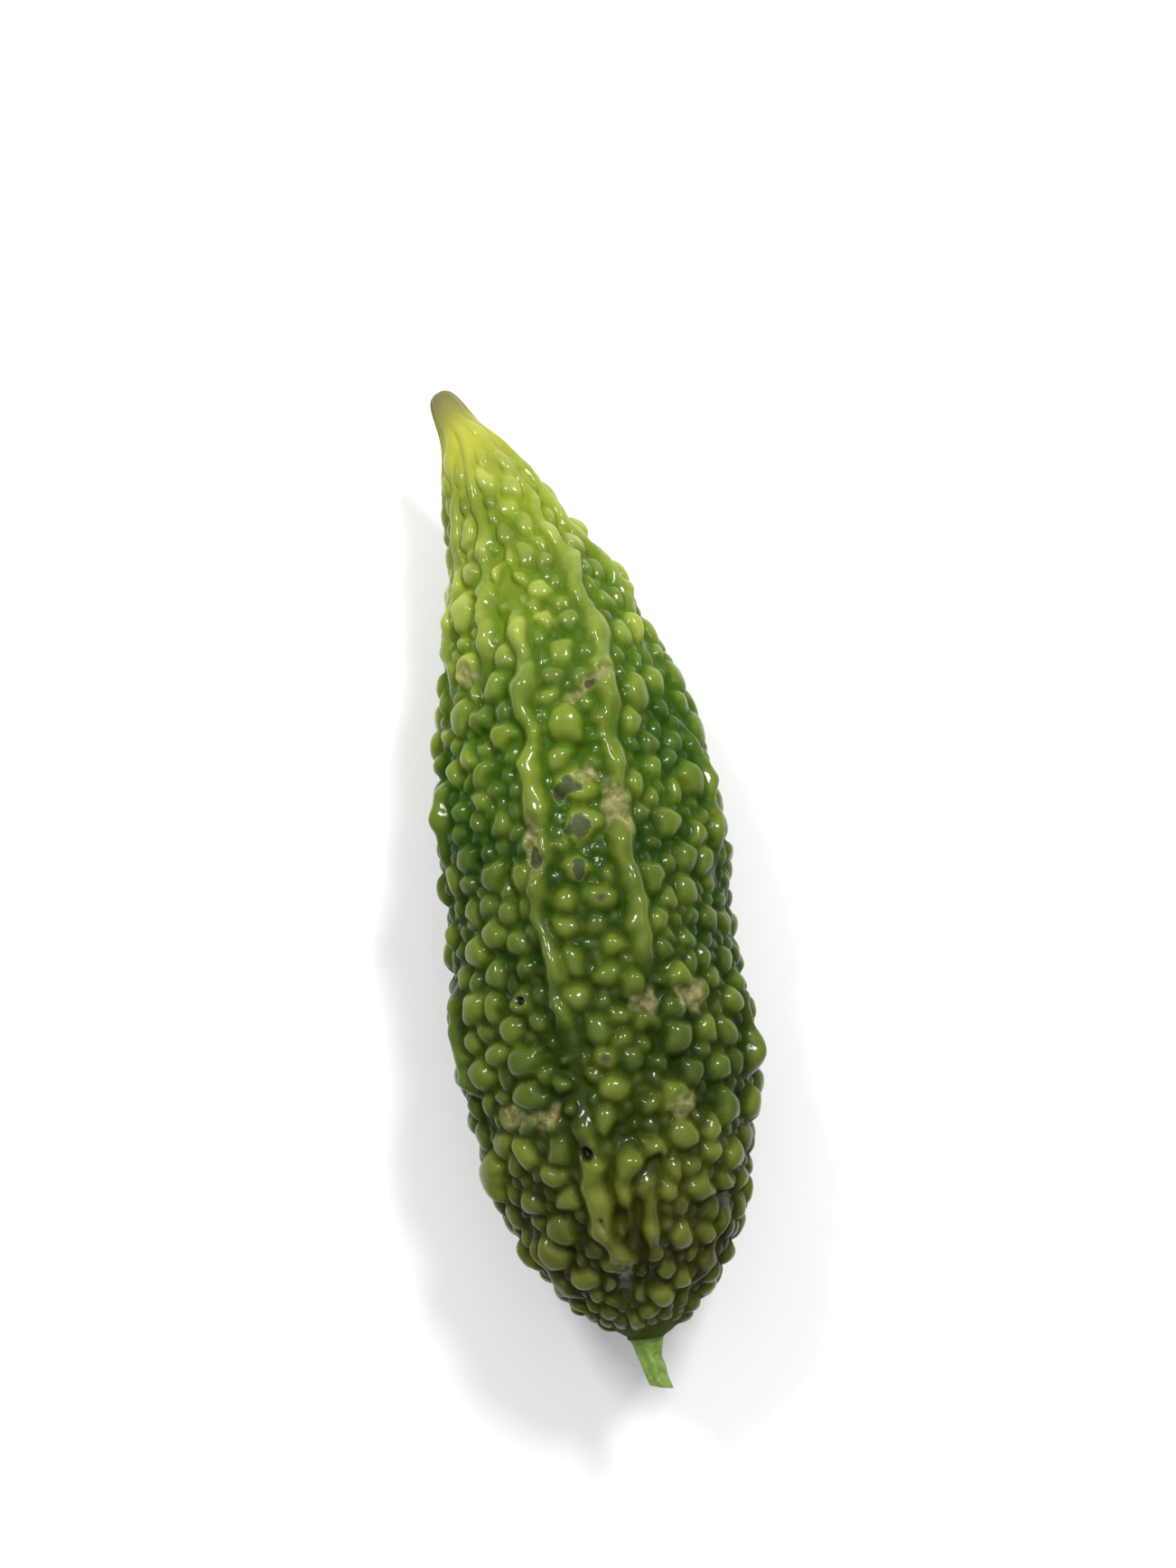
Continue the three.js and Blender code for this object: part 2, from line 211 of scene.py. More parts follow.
# Warts that stand out on the upper side: distance down in mm, angle, radius, stretch, lean.
NOTABLE_WARTS = (
    (31.0, 22, 1.9, 1.7, -12), (40.1, 15, 2.0, 1.5, -8), (41.6, -6, 2.0, 1.7, 0),
    (47.4, 5, 2.1, 1.4, -10), (50.6, 15, 2.0, 1.3, 0), (53.6, -5, 2.1, 1.2, 0),
    (58.0, 5, 2.7, 1.0, 0), (65.6, 2, 2.5, 1.1, 0), (66.4, 15, 2.4, 1.1, 0),
    (62.0, 44, 2.3, 1.3, 0), (70.2, 42, 2.6, 1.15, 0), (73.6, 5, 2.8, 1.3, 60),
    (88.9, 1, 4.0, 1.0, 0), (96.2, -5, 3.0, 0.9, 0),
    (102.1, 1, 4.1, 1.1, 0), (110.7, 0, 4.0, 1.0, 0), (119.2, -3, 3.3, 0.9, 0),
    (125.9, 4, 3.3, 1.0, 0), (135.8, 6, 3.2, 0.8, -15), (141.2, 3, 3.1, 1.0, 0),
    (132.0, -32, 2.9, 1.0, 0), (138.1, -29, 2.9, 1.0, 0), (144.2, -33, 3.3, 1.0, 0),
    (96.5, -80, 3.0, 1.1, 0), (156.4, -34, 4.2, 0.95, 0), (155.4, 27, 3.4, 1.0, 0),
    (167.2, 25, 3.9, 1.0, 0), (162.0, 48, 3.2, 1.0, 0), (170.1, 70, 4.3, 1.0, 0),
    (178.2, -70, 5.0, 1.0, 0), (174.2, -43, 3.3, 1.0, 0), (179.7, -31, 3.2, 1.0, 0),
    (191.4, -38, 3.4, 1.0, 0), (195.0, 26, 3.2, 1.0, 0),
)

# Healed scars, bruises, holes and scabs: kind, distance down, angle, half-sizes down and across.
MARKS = (
    ("scar", 71.6, -46, 3.6, 2.8), ("scar", 83.6, 6, 1.3, 2.4), ("scar", 81.2, 14, 1.6, 2.4),
    ("scar", 79.6, 22, 1.1, 2.2), ("scar", 100.2, 5, 2.2, 2.6), ("scar", 107.1, 15, 5.2, 2.7),
    ("scar", 113.4, -18, 5.8, 2.0), ("scar", 147.2, 16, 2.5, 2.5), ("scar", 147.0, 36, 3.2, 3.6),
    ("scar", 167.0, -44, 2.9, 3.3), ("scar", 167.6, -30, 2.6, 2.8), ("scar", 168.6, 27, 2.8, 3.0),
    ("scar", 190.0, -13, 2.4, 0.6), ("scar", 199.0, -8, 1.4, 1.6),
    ("scar", 120.0, 140, 4.0, 3.0), ("scar", 76.0, -140, 3.0, 2.4), ("scar", 155.0, 96, 2.6, 2.2),
    ("bruise", 81.6, 14, 1.0, 1.3), ("bruise", 102.8, -3, 2.8, 2.8), ("bruise", 111.2, -1, 3.4, 3.1),
    ("bruise", 119.6, -2, 2.0, 1.8), ("bruise", 116.2, -18, 2.6, 1.4), ("bruise", 140.0, -150, 1.6, 1.8),
    ("hole", 144.2, -32, 1.2, 1.1), ("hole", 175.6, -14, 1.9, 1.1),
    ("scab", 126.0, 4, 0.7, 0.8), ("scab", 130.2, -5, 0.6, 0.7), ("scab", 158.0, -2, 0.8, 0.9),
    ("scab", 90.0, -34, 0.7, 0.8), ("scab", 150.0, 52, 0.8, 0.8), ("scab", 110.0, 118, 0.8, 0.9),
)


def smoothstep(value, low, high):
    share = np.clip((value - low) / (high - low), 0, 1)
    return share * share * (3 - 2 * share)


def wrap(angle):
    return (angle + math.pi) % (2 * math.pi) - math.pi


def dome(away, fullness, steepness):
    """Height of a bump, 1 at its middle and 0 a whole width away from it."""
    return np.clip(1 - np.clip(away, 0, 1) ** fullness, 0, 1) ** steepness


class Dice:
    """Evenly mixed numbers from 0 to 1, the same ones in every run."""

    def __init__(self, seed):
        self.state = seed

    def roll(self):
        self.state = (self.state * 1664525 + 1013904223) % 4294967296
        return self.state / 4294967296


def spline(points, steps):
    """Points along a Catmull-Rom curve through the given ones."""
    points = np.array(points, float)
    last = len(points) - 1
    spots = np.linspace(0, last, steps + 1)
    spans = np.minimum(spots.astype(int), last - 1)
    t = (spots - spans)[:, None]
    before, start, end, after = (points[np.clip(spans + i, 0, last)] for i in (-1, 0, 1, 2))
    leave = (end - before) / 2
    arrive = (after - start) / 2
    cubic = 2 * start - 2 * end + leave + arrive
    square = -3 * start + 3 * end - 2 * leave - arrive
    return ((cubic * t + square) * t + leave) * t + start


def ripples(places, seed, wavelength, height):
    """Smooth noise of about the given height: plane waves of like length in mixed directions."""
    random = np.random.default_rng(seed)
    total = np.zeros(places.shape[:-1])
    for _ in range(RIPPLE_WAVES):
        direction = random.normal(size=3)
        direction /= np.linalg.norm(direction)
        pitch = wavelength * random.uniform(*RIPPLE_PITCHES)
        total += np.sin(places @ (direction * 2 * math.pi / pitch) + random.uniform(0, 2 * math.pi))
    return height * (total / math.sqrt(RIPPLE_WAVES / 2))


# ---------------------------------------------------------------- the smooth fruit

SKIN = spline([(along * LENGTH, out * BASE_RADIUS) for along, out in OUTLINE], OUTLINE_STEPS)
SKIN_TRAVEL = np.concatenate(([0], np.cumsum(np.hypot(*np.diff(SKIN, axis=0).T))))
SKIN_TOTAL = SKIN_TRAVEL[-1]


def skin_at(distance):
    """Distance along the fruit's axis and radius, at a distance down the skin."""
    down = np.interp(distance, SKIN_TRAVEL, SKIN[:, 0])
    radius = np.interp(distance, SKIN_TRAVEL, SKIN[:, 1])
    return down, radius


def centre_line(down):
    """Places and directions of the bent centre line."""
    bend = np.clip(1 - down / (HOOK_SHARE * LENGTH), 0, None)
    slope = HOOK_REACH * HOOK_POWER * bend ** (HOOK_POWER - 1) / (HOOK_SHARE * LENGTH)
    place = np.stack([-HOOK_REACH * bend ** HOOK_POWER, LENGTH / 2 - down, 0 * down], -1)
    direction = np.stack([slope, -np.ones_like(down), 0 * down], -1)
    return place, direction / np.linalg.norm(direction, axis=-1, keepdims=True)


class Grid:
    """Every place of the skin's grid, with its smooth base point and outward direction."""

    def __init__(self):
        self.distance = np.linspace(0, SKIN_TOTAL, ROWS)
        self.angle = np.arange(COLUMNS) / COLUMNS * 2 * math.pi
        down, self.radius = skin_at(self.distance)
        # A hair more of the distance keeps two rows apart where the skin is square to the axis.
        slope = np.gradient(self.radius, down + HAIR * self.distance)
        centre, direction = centre_line(down)
        side = np.stack([-direction[:, 1], direction[:, 0], 0 * down], -1)[:, None]
        up = np.array([0.0, 0.0, 1.0])
        sine = np.sin(self.angle)[None, :, None]
        cosine = np.cos(self.angle)[None, :, None]
        reach = self.radius[:, None, None]
        self.base = centre[:, None] + reach * (side * sine + up * FLATNESS * cosine)
        outward = side * FLATNESS * sine + up * cosine
        outward /= np.linalg.norm(outward, axis=-1, keepdims=True)
        outward = outward - direction[:, None] * slope[:, None, None]
        self.outward = outward / np.linalg.norm(outward, axis=-1, keepdims=True)
        self.share = self.distance / SKIN_TOTAL


# ---------------------------------------------------------------- ridges and warts

def ridge_offset(ridge, distance, angle, radius):
    """How far across from a ridge's crest, how far in from its ends, in fades, and its half-width."""
    course, widths, _ = ridge
    shares, angles = zip(*course)
    first, last = shares[0] * SKIN_TOTAL, shares[-1] * SKIN_TOTAL
    crest = np.radians(np.interp(distance / SKIN_TOTAL, shares, angles))
    across = wrap(angle - crest) * radius
    share = np.clip((distance - first) / (last - first), 0, 1)
    width = widths[0] + (widths[1] - widths[0]) * share
    width = width * np.clip(radius / FULL_WIDTH_RADIUS, RIDGE_LEAST_WIDTH, 1)
    fade = min(RIDGE_FADE, RIDGE_FADE_SHARE * (last - first))
    return across, np.minimum(distance - first, last - distance) / fade, width


def wart_size(distance):
    """Share of a wart's full size: the neck and the foot have smaller ones."""
    neck = smoothstep(distance, NECK_BARE - NECK_FADE, NECK_BARE + NECK_FADE)
    foot = smoothstep(SKIN_TOTAL - distance, FOOT_BARE - FOOT_FADE, FOOT_BARE + FOOT_FADE)
    return neck * foot


def scatter_warts():
    """Notable warts first, then thrown ones, large before small, kept where they fit."""
    warts = [
        (distance, math.radians(angle), radius, stretch, math.radians(lean))
        for distance, angle, radius, stretch, lean in NOTABLE_WARTS
    ]
    dice = Dice(DICE_SEED)
    for size, tries in zip(WART_RADII, WART_TRIES):
        for _ in range(tries):
            distance = NECK_BARE + (SKIN_TOTAL - FOOT_BARE - NECK_BARE) * dice.roll()
            angle = 2 * math.pi * dice.roll()
            radius = size * (1 + WART_JITTER * (2 * dice.roll() - 1)) * wart_size(distance)
            neck = 1 - smoothstep(distance, NECK_STRETCH_START, NECK_STRETCH_END)
            stretch = WART_STRETCH + NECK_STRETCH * neck * dice.roll()
            lean = WART_LEAN * (2 * dice.roll() - 1)
            reach = float(skin_at(distance)[1])
            placed = np.array(warts)
            down = (distance - placed[:, 0]) / np.maximum(stretch, placed[:, 3])
            across = wrap(angle - placed[:, 1]) * reach
            if (np.hypot(down, across) < WART_SPACING * (radius + placed[:, 2])).any():
                continue
            if not near_ridge(distance, angle, radius, reach):
                warts.append((distance, angle, radius, stretch, lean))
    return warts


def near_ridge(distance, angle, radius, reach):
    for ridge in RIDGES:
        across, inside, width = ridge_offset(ridge, distance, angle, reach)
        if inside > RIDGE_STARTED and abs(across) < width + RIDGE_CLEARANCE * radius:
            return True
    return False


class Skin:
    """What grows on the grid: each place knows how near it is to its own bump and to the next."""

    def __init__(self, grid):
        self.grid = grid
        self.nearest = np.full((ROWS, COLUMNS), FAR)
        self.second = np.full((ROWS, COLUMNS), FAR)
        self.rise = np.zeros((ROWS, COLUMNS))
        self.tone = np.zeros((ROWS, COLUMNS))
        self.ridge = np.zeros((ROWS, COLUMNS))
        self.rib = np.zeros((ROWS, COLUMNS))

    def claim(self, window, away, rise, tone, ridge):
        """Lets a bump take the places that are nearer to it, in its own widths, than to others."""
        nearest, second = self.nearest[window], self.second[window]
        closer = away < nearest
        self.second[window] = np.where(closer, nearest, np.minimum(second, away))
        self.nearest[window] = np.where(closer, away, nearest)
        for layer, value in ((self.rise, rise), (self.tone, tone), (self.ridge, ridge)):
            layer[window] = np.where(closer, value, layer[window])

    def bumps(self):
        """Bumps fill the room up to their neighbours, or stop at a little over their own size."""
        crowded = (self.nearest / self.second) ** MEETING_POWER
        alone = (self.nearest / WART_SPREAD) ** MEETING_POWER
        away = (crowded + alone) ** (1 / MEETING_POWER)
        self.crown = smoothstep(1 - away, *CROWN)
        return self.rise * np.where(self.ridge > 0, dome(away, *RIDGE_DOME), dome(away, *WART_DOME))


def grow_ridges(skin):
    grid = skin.grid
    distance = grid.distance[:, None]
    neck = smoothstep(distance, 0, RIDGE_NECK_END)
    grown = RIDGE_NECK_SHARE + (1 - RIDGE_NECK_SHARE) * neck
    wobble = ripples(grid.base, *RIDGE_WOBBLE)
    swell = 1 + ripples(grid.base, *RIDGE_SWELL) + ripples(grid.base, *RIDGE_FINE_SWELL)
    everywhere = (slice(None), slice(None))
    for ridge in RIDGES:
        across, inside, width = ridge_offset(ridge, distance, grid.angle[None], grid.radius[:, None])
        fade = grown * smoothstep(inside, 0, 1)
        rib = RIB_RISE * fade * np.exp(-((across / RIB_SPREAD) ** 2))
        skin.rib = np.maximum(skin.rib, rib)
        past = np.clip(RIDGE_ROUNDING - inside, 0, None)
        away = np.hypot((across + wobble) / (width * swell), past)
        rise = RIDGE_RISE * ridge[2] * fade * swell
        skin.claim(everywhere, away, rise, RIDGE_TONE, 1)


def grow_warts(skin, warts):
    grid = skin.grid
    row_step = grid.distance[1]
    column_step = 2 * math.pi / COLUMNS
    bend_down = ripples(grid.base, *WART_BEND_DOWN)
    bend_across = ripples(grid.base, *WART_BEND_ACROSS)
    random = np.random.default_rng(SWELL_SEED)
    for distance, angle, radius, stretch, lean in warts:
        tone, swell = random.uniform(-1, 1), random.uniform(*WART_SWELL)
        reach = WART_REACH * radius * max(stretch, 1)
        low = max(0, int((distance - reach) / row_step))
        rows = np.arange(low, min(ROWS, int((distance + reach) / row_step) + 2))
        half = int(reach / (float(skin_at(distance)[1]) * column_step)) + 2
        half = min(half, COLUMNS // 2 - 1)
        middle = round(angle / column_step)
        columns = np.arange(middle - half, middle + half + 1) % COLUMNS
        window = np.ix_(rows, columns)
        down = grid.distance[rows][:, None] - distance + bend_down[window]
        across = wrap(grid.angle[columns] - angle)[None] * grid.radius[rows][:, None]
        across = across + bend_across[window]
        turned_down = (down * math.cos(lean) - across * math.sin(lean)) / (radius * stretch)
        turned_across = (down * math.sin(lean) + across * math.cos(lean)) / radius
        rise = WART_STEEPNESS * swell * radius
        skin.claim(window, np.hypot(turned_down, turned_across), rise, tone, 0)


def soften(values, passes):
    """Averages each place of the grid with its neighbours, down and round."""
    for _ in range(passes):
        padded = np.concatenate([values[:1], values, values[-1:]])
        values = (padded[:-2] + 2 * values + padded[2:]) / 4
        values = (np.roll(values, 1, 1) + 2 * values + np.roll(values, -1, 1)) / 4
    return values


def mark_skin(skin):
    """Scars flatten and roughen the bumps, bruises sink them, and holes go deep."""
    grid = skin.grid
    ragged = ripples(grid.base, *MARK_EDGE_RIPPLES)
    crust = ripples(grid.base, *SCAR_RIPPLES)
    skin.marks = {kind: np.zeros((ROWS, COLUMNS)) for kind, *_ in MARKS}
    for kind, distance, angle, half_down, half_across in MARKS:
        down = (grid.distance[:, None] - distance) / half_down
        across = wrap(grid.angle[None] - math.radians(angle)) * grid.radius[:, None] / half_across
        cover = 1 - smoothstep(np.hypot(down, across) + ragged, *MARK_FADE)
        skin.marks[kind] = np.maximum(skin.marks[kind], cover)
    marks = skin.marks
    skin.top = skin.top * (1 - SCAR_FLATTENING * marks["scar"]) + crust * marks["scar"]
    skin.top -= BRUISE_DEPTH * marks["bruise"] + SCAB_DEPTH * marks["scab"]
    skin.top -= HOLE_DEPTH * marks["hole"]


def grow_skin(grid):
    """Ridges, then warts, softened, most of all on the neck, and then marked."""
    skin = Skin(grid)
    grow_ridges(skin)
    grow_warts(skin, scatter_warts())
    skin.top = soften(skin.bumps(), SKIN_PASSES)
    gentle = soften(skin.top, NECK_PASSES)
    skin.top = gentle + (skin.top - gentle) * smoothstep(grid.distance, *NECK_SMOOTH)[:, None]
    skin.tone = soften(skin.tone, SKIN_PASSES)
    skin.ridge = soften(skin.ridge, RIDGE_PASSES)
    swell = ripples(grid.base, *BODY_RIPPLES)
    skin.rib += swell * smoothstep(grid.distance, *BODY_RIPPLES_SPAN)[:, None]
    mark_skin(skin)
    return skin


# ---------------------------------------------------------------- meshes

def rest_on_ground(points):
    """Tips the fruit as the CAD one lies, over the same footprint, and presses its underside."""
    turn = np.array(Matrix.Rotation(REST_TIP, 3, "X"))
    lying = points @ turn.T
    low, high = lying.min(0), lying.max(0)
    middle = (FRUIT_LOW + FRUIT_HIGH) / 2
    lying[:, 0] += middle.x - (low[0] + high[0]) / 2
    lying[:, 1] += middle.y - (low[1] + high[1]) / 2
    lying[:, 2] -= low[2] + REST_PRESS
    lying[:, 2] = np.maximum(lying[:, 2], 0)
    return lying


def new_piece(name, points, faces, body, node):
    """A smooth mesh in the scene, which rides on a body and replaces a node of the CAD."""
    mesh = bpy.data.meshes.new(name)
    mesh.from_pydata((np.asarray(points) * MM).tolist(), [], faces)
    mesh.validate()
    mesh.polygons.foreach_set("use_smooth", [True] * len(mesh.polygons))
    piece = bpy.data.objects.new(name, mesh)
    bpy.context.scene.collection.objects.link(piece)
    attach(piece, body)
    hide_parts(node)
    return piece


def paint(piece, name, values):
    """Gives each point of a piece a number that its material can read."""
    layer = piece.data.attributes.new(name, "FLOAT", "POINT")
    layer.data.foreach_set("value", np.asarray(values, np.float32))


def ring_faces(rings, around):
    """Quads between rings of points, with fans to a first point before and a last one after."""
    faces = []
    for j in range(around):
        faces.append((0, 1 + j, 1 + (j + 1) % around))
    for i in range(rings - 1):
        here, there = 1 + i * around, 1 + (i + 1) * around
        for j in range(around):
            k = (j + 1) % around
            faces.append((here + j, there + j, there + k, here + k))
    last = 1 + rings * around
    for j in range(around):
        faces.append((last, last - around + (j + 1) % around, last - around + j))
    return faces


def per_point(values):
    """The grid's values in the order of the fruit's points: tip, rings and seat."""
    return np.concatenate([values[0, :1], values[1:].ravel(), values[-1, :1]])


def make_fruit():
    grid = Grid()
    skin = grow_skin(grid)
    surface = grid.base + grid.outward * (skin.rib + skin.top)[..., None]
    rings = surface[1:-1].reshape(-1, 3)
    rim = grid.base[-1]
    tip = grid.base[0, :1]
    seat, _ = centre_line(np.array([LENGTH]))
    points = rest_on_ground(np.concatenate([tip, rings, rim, seat]))
    faces = ring_faces(ROWS - 1, COLUMNS)
    fruit = new_piece("gourd_fruit", points, faces, "root", "fruit")
    # The height also picks the colour: the lower a place, the darker, partly as painted shade.
    height = skin.top / RIDGE_RISE * (1 - RIDGE_SHADE * skin.ridge)
    paint(fruit, "height", per_point(height))
    paint(fruit, "tone", per_point(skin.tone))
    paint(fruit, "crown", per_point(skin.crown))
    paint(fruit, "share", per_point(np.repeat(grid.share[:, None], COLUMNS, 1)))
    for kind, cover in skin.marks.items():
        paint(fruit, kind, per_point(cover))
    return fruit


def stalk_points():
    """The foot, the rings and the pit of a ribbed, flared, slightly bent stub, cut on a slant."""
    angle = np.arange(STALK_COLUMNS) / STALK_COLUMNS * 2 * math.pi
    out = np.linspace(0, 1, STALK_ROWS)[:, None]
    flare = (STALK_FOOT_RADIUS - STALK_RADIUS) * (1 - out) ** STALK_FLARE_POWER
    ribs = STALK_RIB * np.cos(STALK_RIBS * angle)[None]
    radius = STALK_RADIUS + flare + ribs * (1 - STALK_RIB_FADE * out)
    x = radius * np.sin(angle) + STALK_BEND * out ** 2
    y = -out * (STALK_LENGTH + STALK_SLANT * x)
    z = radius * np.cos(angle)
    side = np.stack([x, y, z], -1)
    side += (ripples(side, *STALK_RIPPLES) * np.sin(math.pi * out))[..., None]
    rim = side[-1]
    middle = rim.mean(0)
    rings = (STALK_LIP, STALK_HOLLOW)
    cut = [middle + (rim - middle) * width + (0, depth, 0) for width, depth in rings]
    foot = np.zeros((1, 3))
    pit = middle + np.array([[0, STALK_PIT, 0]])
    return np.concatenate([foot, side.reshape(-1, 3), *cut, pit])


def make_stalk():
    """The stub where the CAD one is, with its foot let down over the gap to the fruit."""
    points = stalk_points() @ np.array(Matrix.Rotation(REST_TIP, 3, "X")).T
    low, high = points.min(0), points.max(0)
    place = np.array([
        (STALK_LOW.x + STALK_HIGH.x) / 2 - (low[0] + high[0]) / 2,
        STALK_HIGH.y + STALK_GAP - high[1],
        (STALK_LOW.z + STALK_HIGH.z) / 2 - (low[2] + high[2]) / 2,
    ])
    faces = ring_faces(STALK_ROWS + 2, STALK_COLUMNS)
    stalk = new_piece("gourd_stalk", points + place, faces, "root", "stalk")
    cut = np.zeros(len(points))
    cut[-1 - 2 * STALK_COLUMNS:] = 1
    paint(stalk, "cut", cut)
    return stalk


# ---------------------------------------------------------------- materials

class Recipe:
    """A material's node tree, built one node at a time."""

    def __init__(self, name):
        self.material = bpy.data.materials.new(name)
        self.material.use_nodes = True
        self.tree = self.material.node_tree
        self.shader = self.tree.nodes["Principled BSDF"]

    def add(self, kind, inputs=None, **settings):
        node = self.tree.nodes.new("ShaderNode" + kind)
        for setting, value in settings.items():
            setattr(node, setting, value)
        self.feed(node, inputs or {})
        return node

    def feed(self, node, inputs):
        for socket, value in inputs.items():
            if isinstance(value, bpy.types.NodeSocket):
                self.tree.links.new(value, node.inputs[socket])
            else:
                node.inputs[socket].default_value = value

    def painted(self, name):
        return self.add("Attribute", attribute_name=name).outputs["Fac"]

    def noise(self, size_mm, detail):
        place = self.add("TexCoord").outputs["Object"]
        inputs = {"Vector": place, "Scale": 1000 / size_mm, "Detail": detail, "Roughness": 0.5}
        return self.add("TexNoise", inputs).outputs["Fac"]

    def math(self, operation, a, b):
        return self.add("Math", {0: a, 1: b}, operation=operation).outputs[0]

    def ramp(self, share, stops):
        """Eased colours between stops, each with its place and colour."""
        node = self.add("ValToRGB", {"Fac": share})
        colours = node.color_ramp
        colours.interpolation = "EASE"
        while len(colours.elements) < len(stops):
            colours.elements.new(0.5)
        for element, (place, colour) in zip(colours.elements, stops):
            element.position = place
            element.color = (*colour, 1)
        return node.outputs["Color"]

    def span(self, value, low, high, start=0.0, end=1.0):
        """Eases from start to end while the value goes from low to high."""
        inputs = {"Value": value, "From Min": low, "From Max": high, "To Min": start, "To Max": end}
        return self.add("MapRange", inputs, interpolation_type="SMOOTHSTEP").outputs["Result"]

    def vary(self, noise, start, end):
        """Spreads the middle of a noise, where nearly all of it is, from start to end."""
        return self.span(noise, 0.3, 0.7, start, end)

    def mix(self, share, a, b):
        return self.add("Mix", {0: share, 6: a, 7: b}, data_type="RGBA").outputs[2]


# Colours from the blossom tip, at 0, to the stalk end, at 1: on the bumps, and between them. The dark
# colours between the bumps are partly painted shade in the furrows. The darkening from the neck towards
# the lower half is partly painted shade, over the fruit's own deeper green there.
CREST_COLOURS_AND_SHADE = (
    (0.0, (0.22, 0.18, 0.10)), (0.014, (0.36, 0.33, 0.11)), (0.07, (0.33, 0.335, 0.075)),
    (0.18, (0.25, 0.285, 0.052)), (0.28, (0.205, 0.255, 0.036)), (0.40, (0.105, 0.153, 0.013)),
    (0.55, (0.078, 0.113, 0.010)), (0.72, (0.083, 0.115, 0.011)), (0.9, (0.10, 0.108, 0.012)),
    (1.0, (0.13, 0.15, 0.022)),
)
VALLEY_COLOURS_AND_SHADE = (
    (0.0, (0.15, 0.12, 0.06)), (0.07, (0.25, 0.27, 0.03)), (0.18, (0.12, 0.17, 0.010)),
    (0.28, (0.065, 0.115, 0.006)), (0.40, (0.024, 0.062, 0.002)), (0.55, (0.013, 0.034, 0.001)),
    (0.72, (0.015, 0.028, 0.001)), (0.9, (0.024, 0.024, 0.002)), (1.0, (0.06, 0.08, 0.01)),
)

# Colours of the marks.
SCAR_COLOURS = ((0.25, (0.15, 0.14, 0.05)), (0.75, (0.27, 0.255, 0.105)))
BRUISE_RIM_COLOUR = (0.20, 0.25, 0.06, 1)
BRUISE_COLOUR = (0.036, 0.047, 0.022, 1)
SCAB_COLOUR = (0.055, 0.045, 0.018, 1)
# Near-black in the holes: partly their own dark brown, partly painted shade inside them.
HOLE_AND_SHADE_COLOUR = (0.012, 0.008, 0.005, 1)


def skin_colour_and_shade(recipe):
    """Pale bumps and dark furrows, mottled, with each wart a little lighter or darker; the furrows' dark
    and the darker lower half are partly painted shade.
    """
    share = recipe.painted("share")
    height = recipe.painted("height")
    tone = recipe.painted("tone")
    mottle = recipe.noise(18, 3)
    speckle = recipe.noise(2.4, 3)
    crest = recipe.ramp(share, CREST_COLOURS_AND_SHADE)
    valley_and_shade = recipe.ramp(share, VALLEY_COLOURS_AND_SHADE)
    uneven = recipe.math("ADD", height, recipe.vary(speckle, -0.08, 0.08))
    # Low places take the valley colour: partly the skin's own, partly painted shade in the furrows.
    colour = recipe.mix(recipe.span(uneven, 0.15, 0.95), valley_and_shade, crest)
    shade = recipe.vary(mottle, 0.8, 1.18)
    shade = recipe.math("ADD", shade, recipe.math("MULTIPLY", tone, 0.2))
    hue = recipe.span(mottle, 0.35, 0.65, 0.509, 0.494)
    hue = recipe.math("ADD", hue, recipe.math("MULTIPLY", tone, -0.009))
    inputs = {"Hue": hue, "Value": shade, "Color": colour}
    return recipe.add("HueSaturation", inputs).outputs["Color"]


def marked_colour(recipe, colour):
    """Tan scars, dark bruises with a pale rim, brown scabs and black holes over the skin; the holes'
    black is partly painted shade.
    """
    crust = recipe.noise(1.6, 4)
    scar = recipe.math("MULTIPLY", recipe.painted("scar"), recipe.span(crust, 0.3, 0.65, 0.55, 0.9))
    bruise = recipe.math("ADD", recipe.painted("bruise"), recipe.vary(crust, -0.18, 0.18))
    rim = recipe.math("MULTIPLY", recipe.span(bruise, 0.2, 0.45), recipe.span(bruise, 0.85, 0.5))
    colour = recipe.mix(scar, colour, recipe.ramp(crust, SCAR_COLOURS))
    colour = recipe.mix(recipe.math("MULTIPLY", rim, 0.3), colour, BRUISE_RIM_COLOUR)
    colour = recipe.mix(recipe.span(bruise, 0.3, 1.0, 0, 0.9), colour, BRUISE_COLOUR)
    colour = recipe.mix(recipe.painted("scab"), colour, SCAB_COLOUR)
    # The holes' near-black, partly painted shade.
    return recipe.mix(recipe.span(recipe.painted("hole"), 0.35, 0.8), colour, HOLE_AND_SHADE_COLOUR)


def skin_material():
    """Waxy on the crowns of the bumps, and dull in the furrows and on scars and bruises."""
    recipe = Recipe("gourd_skin")
    colour = marked_colour(recipe, skin_colour_and_shade(recipe))
    scar = recipe.painted("scar")
    crown = recipe.painted("crown")
    roughness = recipe.vary(recipe.noise(5, 3), 0.26, 0.40)
    roughness = recipe.math("ADD", roughness, recipe.math("MULTIPLY", scar, 0.35))
    roughness = recipe.math("ADD", roughness, recipe.span(crown, 0.0, 0.7, 0.35, 0.0))
    sound = recipe.math("SUBTRACT", 1.0, recipe.math("MAXIMUM", scar, recipe.painted("bruise")))
    wax = recipe.math("MULTIPLY", recipe.math("MULTIPLY", crown, 0.5), sound)
    bumps = recipe.add("Bump", {"Strength": 0.25, "Distance": 0.0004, "Height": recipe.noise(1.4, 3)})
    recipe.feed(recipe.shader, {
        "Base Color": colour, "Roughness": roughness, "Normal": bumps.outputs["Normal"],
        "Subsurface Weight": 0.1, "Subsurface Radius": (1.0, 1.4, 0.4), "Subsurface Scale": 0.0012,
        "IOR": 1.4, "Specular IOR Level": 0.07,
        "Coat Weight": wax, "Coat Roughness": 0.06, "Coat IOR": 1.4,
    })
    return recipe.material


